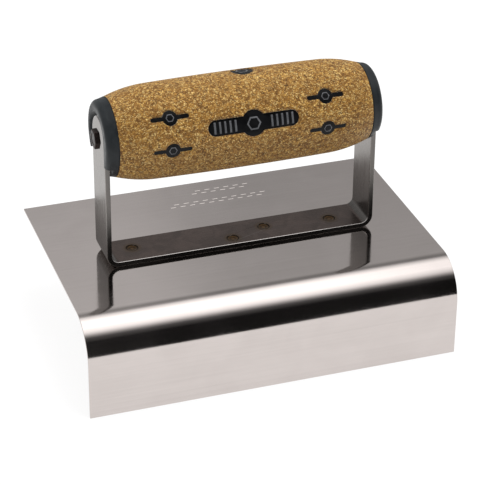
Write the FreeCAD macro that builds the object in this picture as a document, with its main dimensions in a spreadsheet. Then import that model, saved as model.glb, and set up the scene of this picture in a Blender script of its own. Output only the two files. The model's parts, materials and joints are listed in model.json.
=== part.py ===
"""Outside step tool: a steel trowel with a turned-down lip that finishes the top and face of a concrete step.

A polished sheet blade carries a flat-strap bracket, spot-welded to it. The bracket's two uprights end in round
tongues, and a screw through each tongue holds the handle: a moulded core inside a cork sleeve, between two end
caps, with dark inlays let into the cork.

Frame: the origin is on the sole, the blade's flat lower face, under the middle of the handle. +X runs along the
handle, +Y points away from the lip and +Z points up. Every length is in millimetres.
"""

import FreeCAD, Part
import os
import re

import Sketcher

DOCUMENT_NAME = "step_tool"
SHEET_NAME = "sizes"

# The driving dimensions: alias, value and what it measures.
DIMENSIONS = (
    ("blade_length", 152.4, "blade, along the handle"),
    ("blade_depth", 101.6, "lip's outer face to the back edge"),
    ("blade_sheet", 0.9, "thickness of the blade's sheet"),
    ("lip_offset", 52.0, "handle's middle plane to the lip's outer face"),
    ("lip_drop", 39.0, "blade's upper face to the lip's lower edge"),
    ("lip_radius", 16.0, "outer radius of the bend between blade and lip"),
    ("mark_width", 2.4, "one stamped dash, along the handle"),
    ("mark_height", 0.6, "one stamped dash, across the handle"),
    ("mark_depth", 0.12, "depth of the stamped dashes"),
    ("mark_stagger", 2.2, "lower dash to upper dash"),
    ("mark_pitch", 4.2, "one pair of dashes to the next"),
    ("first_row_start", -18.0, "left end of the first row of dashes"),
    ("first_row_place", 30.6, "middle plane to the first row"),
    ("second_row_start", -6.0, "left end of the second row of dashes"),
    ("second_row_place", 39.6, "middle plane to the second row"),
    ("strap_width", 17.5, "bracket's strap, across the handle"),
    ("strap_thickness", 2.0, "bracket's strap"),
    ("strap_span", 112.4, "outer face to outer face of the uprights"),
    ("strap_bend", 5.0, "outer radius of the bracket's bends"),
    ("strap_edge", 0.3, "rounding of the strap's long edges"),
    ("screw_hole", 2.6, "radius of the hole in each tongue and cap"),
    ("weld_radius", 2.4, "radius of a spot weld's nugget"),
    ("weld_sink", 0.1, "strap's upper face down to a nugget's top"),
    ("fit_gap", 0.15, "play between a round piece and its seat"),
    ("axis_height", 54.4, "sole to the handle's axis"),
    ("grip_middle", 19.15, "handle's radius at the middle"),
    ("grip_end", 15.75, "cork's radius where it meets a cap"),
    ("grip_half", 51.8, "half length of the cork sleeve"),
    ("grip_waist", 18.75, "handle's radius where the long arc ends"),
    ("belly_half", 36.0, "half length of the long arc along the handle"),
    ("shoulder_radius", 53.0, "arc from the long arc down to the cork's end"),
    ("core_radius", 11.0, "moulded core inside the cork"),
    ("inlay_sink", 0.45, "cork's surface down to an inlay's face"),
    ("inlay_floor", 2.6, "cork's surface down to an inlay's seat"),
    ("relief_sink", 0.2, "cork's surface down to the relief on an inlay"),
    ("cap_length", 4.9, "end cap, outside the cork"),
    ("cap_end", 15.1, "cap's radius where its rim starts to round"),
    ("cap_round", 2.4, "rounding of the cap's rim"),
    ("recess_radius", 9.5, "arch of the cap's recess around the tongue"),
    ("recess_rise", 1.2, "handle's axis up to that arch's centre"),
    ("recess_leg", 8.0, "handle's axis down to the ends of the recess's sides"),
    ("recess_depth", 2.5, "cap's end face in to the tongue's seat"),
    ("spigot_radius", 6.0, "cap's spigot inside the core"),
    ("spigot_length", 6.0, "cap's spigot inside the core"),
    ("shank_radius", 2.4, "screw's shank"),
    ("shank_length", 26.0, "screw, under its head"),
    ("point_length", 3.0, "screw's conical point"),
    ("head_flats", 7.0, "screw's hexagon head, across the flats"),
    ("head_height", 2.2, "screw's head"),
    ("badge_angle", 19.0, "badge, above the horizontal, about the handle's axis"),
    ("badge_place", 1.2, "middle of the handle to the middle of a badge"),
    ("badge_bar_length", 36.8, "badge's bar, end to end"),
    ("badge_bar_width", 6.2, "badge's bar"),
    ("badge_disc", 5.1, "radius of the badge's disc"),
    ("button_spread", 20.0, "button's angle above or below the badge"),
    ("button_place", 31.6, "middle of the handle to a button"),
    ("button_bar_length", 15.2, "button's bar, end to end"),
    ("button_bar_width", 1.6, "button's bar"),
    ("button_disc", 2.95, "radius of a button's disc"),
    ("dot_angle", 100.5, "round inlay on top of the handle"),
    ("dot_place", 3.2, "middle of the handle to the round inlay"),
    ("dot_disc", 4.4, "radius of the round inlay"),
    ("rib_length", 4.6, "one rib of a badge, across the bar"),
    ("rib_width", 0.8, "one rib of a badge, along the bar"),
    ("rib_start", 7.0, "badge's middle to the first rib"),
    ("rib_pitch", 2.1, "one rib to the next"),
    ("badge_stud", 2.9, "badge's hexagon, centre to corner"),
    ("button_stud", 1.7, "button's hexagon, centre to corner"),
    ("dot_stud", 2.6, "round inlay's hexagon, centre to corner"),
    ("prism_start", 10.0, "handle's axis to the start of an inlay's cutter"),
    ("prism_height", 12.0, "length of an inlay's cutter"),
)

# Spot welds: distance along the strap and distance off its middle line.
WELDS = ((-43.4, 1.0), (-2.5, -4.0), (12.4, 1.3), (40.3, -0.6))
FIRST_ROW_PAIRS = 10
SECOND_ROW_PAIRS = 6
RIBS_PER_SIDE = 5
TOLERANCE = 1e-4
X_AXIS = FreeCAD.Vector(1, 0, 0)
Y_AXIS = FreeCAD.Vector(0, 1, 0)
Z_AXIS = FreeCAD.Vector(0, 0, 1)

doc = FreeCAD.newDocument(DOCUMENT_NAME)
sheet = doc.addObject("Spreadsheet::Sheet", SHEET_NAME)


def fill_sheet():
    """Writes the driving dimensions into the spreadsheet and names each cell."""
    for row, (alias, value, note) in enumerate(DIMENSIONS, start=1):
        sheet.set(f"A{row}", alias)
        sheet.set(f"B{row}", str(value))
        sheet.set(f"C{row}", note)
        sheet.setAlias(f"B{row}", alias)
    doc.recompute()


def expression(text):
    """A formula in aliases, such as 'blade_length / 2', as FreeCAD reads it."""
    return re.sub(r"[a-z][a-z_]{3,}", lambda word: f"{SHEET_NAME}.{word.group(0)}", str(text))


def value(text):
    """The number that a formula in aliases gives now."""
    return float(sheet.evalExpression(expression(text)))


def bind(target, **formulas):
    """Binds properties of an object to formulas; a double underscore stands for a dot."""
    for name, text in formulas.items():
        target.setExpression(name.replace("__", "."), expression(text))


def place_vertex(sketch, curve, end, across, along):
    """Ties one end of a sketch curve to two formulas, measured from the sketch's origin."""
    for kind, axis, text in (("DistanceX", -2, across), ("DistanceY", -1, along)):
        size = value(text)
        if abs(size) < TOLERANCE:
            sketch.addConstraint(Sketcher.Constraint("PointOnObject", curve, end, axis))
            continue
        index = sketch.addConstraint(Sketcher.Constraint(kind, -1, 1, curve, end, size))
        sketch.setExpression(f"Constraints[{index}]", expression(text))


def arc_between(start, finish, radius):
    """The short arc between two points; a positive radius bulges to the left of the way travelled."""
    chord = finish - start
    sagitta = abs(radius) - max(radius**2 - chord.dot(chord) / 4, 0) ** 0.5
    left = FreeCAD.Vector(-chord.y, chord.x, 0).normalize()
    middle = (start + finish) * 0.5 + left * (sagitta if radius > 0 else -sagitta)
    return Part.Arc(start, middle, finish)


def draw_outline(sketch, corners, arcs=None):
    """Draws a closed outline; corners are pairs of formulas, arcs maps a side's number to its radius."""
    arcs = arcs or {}
    points = [FreeCAD.Vector(value(across), value(along), 0) for across, along in corners]
    sides = []
    for number, start in enumerate(points):
        finish = points[(number + 1) % len(points)]
        straight = Part.LineSegment(start, finish)
        curve = arc_between(start, finish, value(arcs[number])) if number in arcs else straight
        index = sketch.addGeometry(curve, False)
        forward = (sketch.getPoint(index, 1) - start).Length < TOLERANCE
        sides.append((index, 1 if forward else 2, 2 if forward else 1))
    for number, (index, first, last) in enumerate(sides):
        following, start, _ = sides[(number + 1) % len(sides)]
        sketch.addConstraint(Sketcher.Constraint("Coincident", index, last, following, start))
        place_vertex(sketch, index, first, *corners[number])
    for number, formula in arcs.items():
        size = abs(value(formula))
        constraint = sketch.addConstraint(Sketcher.Constraint("Radius", sides[number][0], size))
        sketch.setExpression(f"Constraints[{constraint}]", expression(f"abs({formula})"))


def draw_circle(sketch, across, along, radius):
    """Draws a circle whose centre and radius are formulas."""
    centre = FreeCAD.Vector(value(across), value(along), 0)
    circle = sketch.addGeometry(Part.Circle(centre, Z_AXIS, value(radius)), False)
    place_vertex(sketch, circle, 3, across, along)
    index = sketch.addConstraint(Sketcher.Constraint("Radius", circle, value(radius)))
    sketch.setExpression(f"Constraints[{index}]", expression(radius))


def new_body(name):
    """An empty body whose label is the sub-part's name."""
    body = doc.addObject("PartDesign::Body", name)
    body.Label = name
    return body


def new_sketch(body, name, role):
    """A sketch on one of the body's own origin planes."""
    sketch = body.newObject("Sketcher::SketchObject", name)
    plane = next(item for item in body.Origin.OriginFeatures if item.Role == role)
    sketch.AttachmentSupport = [(plane, "")]
    sketch.MapMode = "FlatFace"
    return sketch


def add_pad(body, sketch, name, length):
    """Pads a sketch by a formula, half to each side of its plane."""
    pad = body.newObject("PartDesign::Pad", name)
    pad.Profile = sketch
    pad.Midplane = True
    bind(pad, Length=length)
    doc.recompute()
    return pad


def add_cut(body, sketch, name, depth=None, reverse=False):
    """Pockets a sketch by a formula, or right through both ways, and checks that it removed something."""
    before = body.Shape.Volume
    pocket = body.newObject("PartDesign::Pocket", name)
    pocket.Profile = sketch
    pocket.Reversed = reverse
    if depth is None:
        pocket.Type = "ThroughAll"
        pocket.Midplane = True
    else:
        bind(pocket, Length=depth)
    doc.recompute()
    if body.Shape.Volume > before - TOLERANCE:
        raise RuntimeError(f"{name} removed nothing")
    return pocket


def matching_edges(shape, test):
    """Names of the edges for which test(edge) holds."""
    return [f"Edge{n}" for n, edge in enumerate(shape.Edges, start=1) if test(edge)]


def add_fillet(body, name, radius, test):
    """Rounds the edges of the body's tip for which test(edge) holds."""
    base = body.Tip
    names = matching_edges(base.Shape, test)
    if not names:
        raise RuntimeError(f"{name} found no edge")
    fillet = body.newObject("PartDesign::Fillet", name)
    fillet.Base = (base, names)
    bind(fillet, Radius=radius)
    doc.recompute()
    return fillet


def edge_lies_at(edge, **wanted):
    """True if every point of a straight edge has the wanted coordinates."""
    ends = [vertex.Point for vertex in edge.Vertexes]
    return len(ends) == 2 and all(
        abs(getattr(point, axis) - size) < TOLERANCE for point in ends for axis, size in wanted.items()
    )


def lifted(plane_height, sketch):
    """Moves a sketch off its plane to a height given by a formula."""
    sketch.setExpression("AttachmentOffset.Base.z", expression(plane_height))
    return sketch


# ---------------------------------------------------------------- blade, bracket and welds


def add_mark_row(body, name, start, place, pairs):
    """Stamps one row of staggered dashes into the blade's upper face."""
    sketch = lifted("blade_sheet", new_sketch(body, f"{name}_sketch", "XY_Plane"))
    for shift, rise in (("0", "0"), ("mark_pitch / 2", "mark_stagger")):
        left = f"{start} + {shift}"
        right = f"{left} + mark_width"
        low = f"{place} + {rise}"
        high = f"{low} + mark_height"
        draw_outline(sketch, ((left, low), (right, low), (right, high), (left, high)))
    cut = add_cut(body, sketch, f"{name}_cut", "mark_depth")
    row = body.newObject("PartDesign::LinearPattern", name)
    row.Originals = [cut]
    row.Direction = (sketch, ["H_Axis"])
    row.Occurrences = pairs
    row.setExpression("Length", expression(f"mark_pitch * {pairs - 1}"))
    body.Tip = row
    doc.recompute()


def weld_circles(body, name, height):
    """A sketch with one circle for each spot weld, at a height above the sole."""
    sketch = lifted(height, new_sketch(body, name, "XY_Plane"))
    for along, off in WELDS:
        draw_circle(sketch, str(along), str(off), "weld_radius + fit_gap")
    return sketch


def make_blade():
    """The sheet blade: flat sole, turned-down lip, stamped dashes and seats for the weld nuggets."""
    body = new_body("blade")
    profile = new_sketch(body, "blade_profile", "YZ_Plane")
    back = "blade_depth - lip_offset"
    low = "blade_sheet - lip_drop"
    draw_outline(profile, (
        ("-lip_offset", low),
        ("blade_sheet - lip_offset", low),
        ("blade_sheet - lip_offset", "0"),
        (back, "0"),
        (back, "blade_sheet"),
        ("-lip_offset", "blade_sheet"),
    ))
    add_pad(body, profile, "blade_pad", "blade_length")
    outer = {"y": value("-lip_offset"), "z": value("blade_sheet")}
    inner = {"y": value("blade_sheet - lip_offset"), "z": 0.0}
    add_fillet(body, "outer_bend", "lip_radius", lambda edge: edge_lies_at(edge, **outer))
    add_fillet(body, "inner_bend", "lip_radius - blade_sheet", lambda edge: edge_lies_at(edge, **inner))
    seats = weld_circles(body, "nugget_seats", "blade_sheet")
    add_cut(body, seats, "nugget_seats_cut", "blade_sheet / 2")
    add_mark_row(body, "first_mark_row", "first_row_start", "first_row_place", FIRST_ROW_PAIRS)
    add_mark_row(body, "second_mark_row", "second_row_start", "second_row_place", SECOND_ROW_PAIRS)
    return body


def draw_arch(sketch, radius, centre, foot):
    """Draws an arch: a half-round top of a given radius and centre height on straight sides."""
    draw_outline(sketch, (
        (f"-({radius})", foot),
        (radius, foot),
        (radius, centre),
        ("0", f"{centre} + {radius}"),
        (f"-({radius})", centre),
    ), {2: f"-({radius})", 3: f"-({radius})"})


def make_bracket():
    """The strap bracket: a flat foot on the blade, two uprights and two round tongues with screw holes."""
    body = new_body("handle_bracket")
    profile = new_sketch(body, "bracket_profile", "XZ_Plane")
    out = "strap_span / 2"
    inside = "strap_span / 2 - strap_thickness"
    foot = "blade_sheet"
    floor = "blade_sheet + strap_thickness"
    top = "axis_height + strap_width"
    draw_outline(profile, (
        (f"-({out})", foot), (out, foot), (out, top), (inside, top),
        (inside, floor), (f"-({inside})", floor), (f"-({inside})", top), (f"-({out})", top),
    ))
    add_pad(body, profile, "bracket_pad", "strap_width")
    foot_height, floor_height = value(foot), value(floor)
    add_fillet(body, "outer_bends", "strap_bend",
               lambda edge: any(edge_lies_at(edge, x=side * value(out), z=foot_height) for side in (-1, 1)))
    add_fillet(body, "inner_bends", "strap_bend - strap_thickness",
               lambda edge: any(edge_lies_at(edge, x=side * value(inside), z=floor_height) for side in (-1, 1)))
    trim = new_sketch(body, "tongue_trim", "YZ_Plane")
    draw_arch(trim, "strap_width / 2", "axis_height", "-strap_width")
    draw_outline(trim, (
        ("-strap_width", "-2 * strap_width"), ("strap_width", "-2 * strap_width"),
        ("strap_width", "axis_height + 2 * strap_width"), ("-strap_width", "axis_height + 2 * strap_width"),
    ))
    add_cut(body, trim, "tongue_trim_cut")
    hole = new_sketch(body, "screw_hole_sketch", "YZ_Plane")
    draw_circle(hole, "0", "axis_height", "screw_hole")
    add_cut(body, hole, "screw_hole_cut")
    seats = weld_circles(body, "nugget_holes", "blade_sheet")
    add_cut(body, seats, "nugget_holes_cut", "strap_thickness + strap_edge", reverse=True)
    side = value("strap_width") / 2
    add_fillet(body, "long_edges", "strap_edge", lambda edge: (
        edge.BoundBox.YLength < TOLERANCE and abs(abs(edge.BoundBox.YMin) - side) < TOLERANCE
    ))
    return body


def add_cylinder(name, radius, height, axis=Z_AXIS):
    """A Part cylinder with its sizes bound to formulas, along an axis from the origin."""
    cylinder = doc.addObject("Part::Cylinder", name)
    cylinder.Placement.Rotation = FreeCAD.Rotation(Z_AXIS, axis)
    bind(cylinder, Radius=radius, Height=height)
    return cylinder


def make_spot_welds():
    """The weld nuggets that join the strap to the blade, a shade lower than the strap's upper face."""
    nuggets = []
    for index, (along, off) in enumerate(WELDS, start=1):
        nugget = add_cylinder(f"nugget_{index}", "weld_radius", "blade_sheet / 2 + strap_thickness - weld_sink")
        nugget.Placement.Base = FreeCAD.Vector(along, off, 0)
        bind(nugget, Placement__Base__z="blade_sheet / 2")
        nuggets.append(nugget)
    welds = doc.addObject("Part::Compound", "spot_welds")
    welds.Links = nuggets
    return welds


# ---------------------------------------------------------------- handle


def barrel_corners(inset):
    """The upper outline of the handle's barrel, thinner by a formula, from left to right, and its arcs."""
    outline = (
        ("-grip_half", f"grip_end - {inset}"),
        ("-belly_half", f"grip_waist - {inset}"),
        ("belly_half", f"grip_waist - {inset}"),
        ("grip_half", f"grip_end - {inset}"),
    )
    rise = "(grip_middle - grip_waist)"
    belly = f"(belly_half * belly_half + {rise} * {rise}) / (2 * {rise})"
    return outline, {0: "shoulder_radius", 1: belly, 2: "shoulder_radius"}


def add_turned(name, corners, arcs=None):
    """A Part revolution: an outline in the plane of the handle's axis, turned about that axis."""
    sketch = doc.addObject("Sketcher::SketchObject", f"{name}_outline")
    draw_outline(sketch, corners, arcs)
    turned = doc.addObject("Part::Revolution", name)
    turned.Source = sketch
    turned.Axis = X_AXIS
    turned.Base = FreeCAD.Vector(0, 0, 0)
    turned.Angle = 360
    turned.Solid = True
    doc.recompute()
    return turned


def add_barrel(name, inset):
    """A solid barrel that lies a formula's length under the cork's surface."""
    outline, arcs = barrel_corners(inset)
    return add_turned(name, (*outline, ("grip_half", "0"), ("-grip_half", "0")), arcs)


def add_extrusion(name, draw):
    """A prism over a drawn plan, from just off the handle's axis up through the cork."""
    sketch = doc.addObject("Sketcher::SketchObject", f"{name}_plan")
    draw(sketch)
    prism = doc.addObject("Part::Extrusion", name)
    prism.Base = sketch
    prism.DirMode = "Custom"
    prism.Dir = Z_AXIS
    prism.Solid = True
    bind(prism, LengthFwd="prism_height", Placement__Base__z="prism_start")
    doc.recompute()
    return prism


def add_joined(kind, name, shapes):
    """A Part fusion or common of several objects."""
    joined = doc.addObject(f"Part::{kind}", name)
    joined.Shapes = shapes
    doc.recompute()
    return joined


def add_difference(name, base, tool):
    """A Part cut of one object by another."""
    cut = doc.addObject("Part::Cut", name)
    cut.Base = base
    cut.Tool = tool
    doc.recompute()
    return cut


def draw_bar(sketch, centre, length, width, margin):
    """Draws a bar with round ends along the handle, wider all round by a margin."""
    radius = f"({width} / 2 + {margin})"
    left = f"{centre} - ({length} - {width}) / 2"
    right = f"{centre} + ({length} - {width}) / 2"
    draw_outline(sketch, (
        (left, f"-{radius}"),
        (right, f"-{radius}"),
        (f"{right} + {radius}", "0"),
        (right, radius),
        (left, radius),
        (f"{left} - {radius}", "0"),
    ), {1: f"-{radius}", 2: f"-{radius}", 4: f"-{radius}", 5: f"-{radius}"})


def draw_hexagon(sketch, centre, corner):
    """Draws a hexagon with two corners on the line along the handle."""
    side = f"{corner} * 0.8660254"
    draw_outline(sketch, (
        (f"{centre} - {corner}", "0"),
        (f"{centre} - {corner} / 2", f"-{side}"),
        (f"{centre} + {corner} / 2", f"-{side}"),
        (f"{centre} + {corner}", "0"),
        (f"{centre} + {corner} / 2", side),
        (f"{centre} - {corner} / 2", side),
    ))


def draw_ribs(sketch, centre, side):
    """Draws the short ribs on one side (-1 or 1) of a badge's disc."""
    for number in range(RIBS_PER_SIDE):
        near = f"{centre} + {side} * (rib_start + rib_pitch * {number})"
        far = f"{near} + {side} * rib_width"
        draw_outline(sketch, (
            (near, "-rib_length / 2"), (far, "-rib_length / 2"), (far, "rib_length / 2"), (near, "rib_length / 2"),
        ))


class Inlay:
    """One dark inlay: its name, place on the handle, angle and the formulas of its plan."""

    def __init__(self, name, centre, angle, disc, stud, bar=None, ribs=False):
        self.name = name
        self.centre = centre
        self.turn = f"90 - ({angle})"
        self.disc = disc
        self.stud = stud
        self.bar = bar
        self.ribs = ribs

    def plan(self, name, margin):
        """A prism over the inlay's plan, wider all round by a margin."""
        disc = add_extrusion(f"{name}_disc", lambda sketch: draw_circle(
            sketch, self.centre, "0", f"{self.disc} + {margin}"))
        if self.bar is None:
            return disc
        bar = add_extrusion(f"{name}_bar", lambda sketch: draw_bar(sketch, self.centre, *self.bar, margin))
        return add_joined("MultiFuse", name, [disc, bar])

    def relief(self):
        """Prisms over the raised hexagon and ribs."""
        prisms = [add_extrusion(f"{self.name}_stud", lambda sketch: draw_hexagon(sketch, self.centre, self.stud))]
        if self.ribs:
            for side in (-1, 1):
                label = "left" if side < 0 else "right"
                prisms.append(add_extrusion(
                    f"{self.name}_{label}_ribs", lambda sketch: draw_ribs(sketch, self.centre, side)))
        return prisms

    def window(self):
        """The prism that cuts this inlay's window, turned to its angle."""
        prism = add_joined("MultiFuse", f"{self.name}_window", [
            self.plan(f"{self.name}_window_plan", "fit_gap"),
            add_extrusion(f"{self.name}_window_middle", lambda sketch: draw_circle(
                sketch, self.centre, "0", self.disc)),
        ])
        turn_about_handle(prism, self.turn)
        return prism

    def build(self, face, relief_face, back):
        """The inlay's solid, between the barrels that bound it."""
        plate = add_joined("MultiCommon", f"{self.name}_plate", [self.plan(f"{self.name}_plan", "0"), face])
        raised = [
            add_joined("MultiCommon", f"{prism.Name}_raised", [prism, relief_face]) for prism in self.relief()
        ]
        whole = add_joined("MultiFuse", f"{self.name}_whole", [plate, *raised])
        solid = add_difference(self.name, whole, back)
        turn_about_handle(solid, self.turn)
        bind(solid, Placement__Base__z="axis_height")
        return solid


def turn_about_handle(target, angle):
    """Turns an object about the handle's axis by a formula in degrees."""
    target.Placement.Rotation = FreeCAD.Rotation(X_AXIS, 1)
    bind(target, Placement__Rotation__Angle=angle)


def list_inlays():
    """Every inlay of the handle: two badges, eight buttons and the round one on top."""
    badge_bar = ("badge_bar_length", "badge_bar_width")
    button_bar = ("button_bar_length", "button_bar_width")
    inlays = [Inlay("top_inlay", "dot_place", "dot_angle", "dot_disc", "dot_stud")]
    for face, start, sign in (("front", "0", "1"), ("rear", "180", "-1")):
        middle = f"{start} + {sign} * badge_angle"
        badge = Inlay(f"{face}_badge", "badge_place", middle, "badge_disc", "badge_stud", badge_bar, ribs=True)
        inlays.append(badge)
        for end, centre in (("left", "-button_place"), ("right", "button_place")):
            for level, step in (("upper", "+"), ("lower", "-")):
                angle = f"{start} + {sign} * (badge_angle {step} button_spread)"
                name = f"{face}_{end}_{level}_button"
                inlays.append(Inlay(name, centre, angle, "button_disc", "button_stud", button_bar))
    return inlays


def make_cork_grip(inlays):
    """The cork sleeve, bored for the core, with a window for each inlay."""
    outline, arcs = barrel_corners("0")
    bore = "core_radius + fit_gap"
    sleeve = add_turned("sleeve", (*outline, ("grip_half", bore), ("-grip_half", bore)), arcs)
    prisms = add_joined("MultiFuse", "window_prisms", [inlay.window() for inlay in inlays])
    windows = add_difference("windows", prisms, add_barrel("window_floor", "inlay_floor"))
    grip = add_difference("cork_grip", sleeve, windows)
    bind(grip, Placement__Base__z="axis_height")
    return grip


def make_inlays(inlays):
    """The inlays' solids."""
    face = add_barrel("inlay_face", "inlay_sink")
    relief_face = add_barrel("inlay_relief", "relief_sink")
    back = add_barrel("inlay_back", "(inlay_floor - fit_gap)")
    return [inlay.build(face, relief_face, back) for inlay in inlays]


def revolve(body, sketch, name):
    """Turns a sketch in the XZ plane about the body's X axis."""
    turned = body.newObject("PartDesign::Revolution", name)
    turned.Profile = sketch
    turned.ReferenceAxis = (sketch, ["H_Axis"])
    turned.Angle = 360
    doc.recompute()
    return turned


def make_handle_core():
    """The moulded core inside the cork, bored for the screws and the caps' spigots."""
    body = new_body("handle_core")
    sketch = new_sketch(body, "core_outline", "XZ_Plane")
    bore = "screw_hole"
    mouth = "spigot_radius + fit_gap"
    step = "grip_half - spigot_length - fit_gap"
    draw_outline(sketch, (
        ("-grip_half", "core_radius"), ("grip_half", "core_radius"), ("grip_half", mouth), (step, mouth),
        (step, bore), (f"-({step})", bore), (f"-({step})", mouth), ("-grip_half", mouth),
    ))
    revolve(body, sketch, "core_turning")
    bind(body, Placement__Base__z="axis_height")
    return body


def make_end_cap(side, turn):
    """An end cap with a round rim, an arched recess for the tongue that opens downwards, and a spigot."""
    body = new_body(f"{side}_end_cap")
    outline = new_sketch(body, f"{side}_cap_outline", "XZ_Plane")
    face = "grip_half + cap_length"
    draw_outline(outline, (
        ("grip_half - spigot_length", "screw_hole"),
        ("grip_half - spigot_length", "spigot_radius"),
        ("grip_half", "spigot_radius"),
        ("grip_half", "grip_end"),
        (f"{face} - cap_round", "cap_end"),
        (face, "cap_end - cap_round"),
        (face, "screw_hole"),
    ), {4: "cap_round"})
    revolve(body, outline, f"{side}_cap_turning")
    recess = new_sketch(body, f"{side}_cap_recess", "YZ_Plane")
    recess.setExpression("AttachmentOffset.Base.z", expression(face))
    draw_outline(recess, (
        ("-grip_middle", "-grip_middle"),
        ("grip_middle", "-grip_middle"),
        ("grip_middle", "-recess_leg"),
        ("recess_radius", "-recess_leg"),
        ("recess_radius", "recess_rise"),
        ("0", "recess_rise + recess_radius"),
        ("-recess_radius", "recess_rise"),
        ("-recess_radius", "-recess_leg"),
        ("-grip_middle", "-recess_leg"),
    ), {4: "-recess_radius", 5: "-recess_radius"})
    add_cut(body, recess, f"{side}_cap_recess_cut", "recess_depth")
    body.Placement.Rotation = FreeCAD.Rotation(Z_AXIS, turn)
    bind(body, Placement__Base__z="axis_height")
    return body


def make_screw(side, turn):
    """A hexagon-headed screw through a tongue and a cap into the core."""
    seat = "strap_span / 2"
    shank = add_cylinder(f"{side}_shank", "shank_radius", "shank_length - point_length", X_AXIS)
    bind(shank, Placement__Base__x=f"{seat} - shank_length + point_length")
    point = doc.addObject("Part::Cone", f"{side}_point")
    point.Placement.Rotation = FreeCAD.Rotation(Z_AXIS, X_AXIS)
    bind(point, Radius1="shank_radius / 8", Radius2="shank_radius", Height="point_length",
         Placement__Base__x=f"{seat} - shank_length")
    head = doc.addObject("Part::Prism", f"{side}_head")
    head.Polygon = 6
    head.Placement.Rotation = FreeCAD.Rotation(Z_AXIS, X_AXIS)
    bind(head, Circumradius="head_flats / 2 / 0.8660254", Height="head_height", Placement__Base__x=seat)
    screw = add_joined("MultiFuse", f"{side}_screw", [shank, point, head])
    screw.Placement.Rotation = FreeCAD.Rotation(Z_AXIS, turn)
    bind(screw, Placement__Base__z="axis_height")
    return screw


# ---------------------------------------------------------------- whole tool


def make_parts():
    """Builds every sub-part, in order."""
    parts = [make_blade(), make_bracket(), make_spot_welds(), make_handle_core()]
    inlays = list_inlays()
    parts.append(make_cork_grip(inlays))
    parts.extend(make_inlays(inlays))
    for side, turn in (("right", 0), ("left", 180)):
        parts.append(make_end_cap(side, turn))
        parts.append(make_screw(side, turn))
    return parts


def check_document():
    """Stops if an object of the document failed to recompute."""
    for item in doc.Objects:
        if "Invalid" in item.State or "Error" in item.State:
            raise RuntimeError(f"{item.Name} is {item.State}")


def write_parts(parts):
    """Writes each sub-part as a STEP file named after its label."""
    os.makedirs("parts", exist_ok=True)
    for part in parts:
        part.Label = part.Name
        shape = part.Shape
        if shape.isNull() or not shape.isValid() or not shape.Solids:
            raise RuntimeError(f"{part.Label} has no valid solid")
        shape.exportStep(f"parts/{part.Label}.step")
        box = shape.BoundBox
        print(f"{part.Label}: {len(shape.Solids)} solid(s), {shape.Volume:.1f} mm3, "
              f"x {box.XMin:.2f} {box.XMax:.2f}, y {box.YMin:.2f} {box.YMax:.2f}, z {box.ZMin:.2f} {box.ZMax:.2f}")


fill_sheet()
tool_parts = make_parts()
doc.recompute()
check_document()
write_parts(tool_parts)
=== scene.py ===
"""The looks of an outside step tool: a polished steel blade, a strap bracket and a cork handle.

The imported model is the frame. Its blade, welds and screws are modelled again here with finer edges, its core
stays, its other pieces are smoothed copies, and every piece gets a procedural finish. +X runs along the
handle, +Y away from the lip and +Z up, and the origin is on the sole under the middle of the handle. Lengths
are in metres, and in millimetres in the finishes.
"""

import json
import logging
import math
from collections.abc import Iterable
from dataclasses import dataclass, field
from enum import Enum

import bmesh
import bpy
from bmesh.types import BMEdge, BMesh, BMFace, BMVert
from bpy.types import Material, Object
from bpy.types import NodeSocket as Socket
from mathutils import Matrix, Vector

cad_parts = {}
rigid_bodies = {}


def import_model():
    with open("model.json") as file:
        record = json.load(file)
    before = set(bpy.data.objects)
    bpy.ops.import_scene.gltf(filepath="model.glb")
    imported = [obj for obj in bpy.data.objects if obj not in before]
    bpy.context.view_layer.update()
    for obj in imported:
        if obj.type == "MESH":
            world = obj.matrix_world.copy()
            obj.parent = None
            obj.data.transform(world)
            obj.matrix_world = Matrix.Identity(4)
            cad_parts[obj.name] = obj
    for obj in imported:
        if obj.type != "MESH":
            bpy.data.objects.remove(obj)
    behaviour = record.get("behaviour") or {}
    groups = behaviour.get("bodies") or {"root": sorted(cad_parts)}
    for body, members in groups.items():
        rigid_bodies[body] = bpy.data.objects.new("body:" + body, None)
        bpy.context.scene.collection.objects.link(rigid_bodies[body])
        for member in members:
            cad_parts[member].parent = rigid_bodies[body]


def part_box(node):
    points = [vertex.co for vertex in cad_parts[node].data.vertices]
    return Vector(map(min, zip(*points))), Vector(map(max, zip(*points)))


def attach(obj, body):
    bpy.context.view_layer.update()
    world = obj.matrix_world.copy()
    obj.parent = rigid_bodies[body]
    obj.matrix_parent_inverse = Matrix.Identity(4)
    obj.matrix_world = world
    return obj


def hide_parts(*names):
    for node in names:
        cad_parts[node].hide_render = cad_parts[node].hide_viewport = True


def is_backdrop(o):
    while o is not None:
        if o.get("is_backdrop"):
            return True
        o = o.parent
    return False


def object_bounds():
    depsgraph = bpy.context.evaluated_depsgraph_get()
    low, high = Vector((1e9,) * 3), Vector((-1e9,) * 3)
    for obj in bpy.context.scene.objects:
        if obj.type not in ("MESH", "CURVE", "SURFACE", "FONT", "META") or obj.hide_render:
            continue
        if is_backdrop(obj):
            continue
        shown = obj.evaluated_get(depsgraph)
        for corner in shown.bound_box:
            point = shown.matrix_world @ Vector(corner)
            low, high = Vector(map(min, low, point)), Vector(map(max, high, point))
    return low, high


LOG = logging.getLogger("step_tool")
MM = 0.001
BODY = "root"
# How near two corners are when they are one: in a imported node, in a new mesh, and beside a cut.
LOOSE = 0.002 * MM
TOUCHING = 0.001 * MM
CUT_SLACK = 0.0001 * MM

Span = tuple[float, float]
Triple = tuple[float, float, float]
Colour = Triple
Stop = tuple[float, Colour]
Input = float | Socket

# Where most of a noise's values lie.
MOST: Span = (0.3, 0.7)


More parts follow.
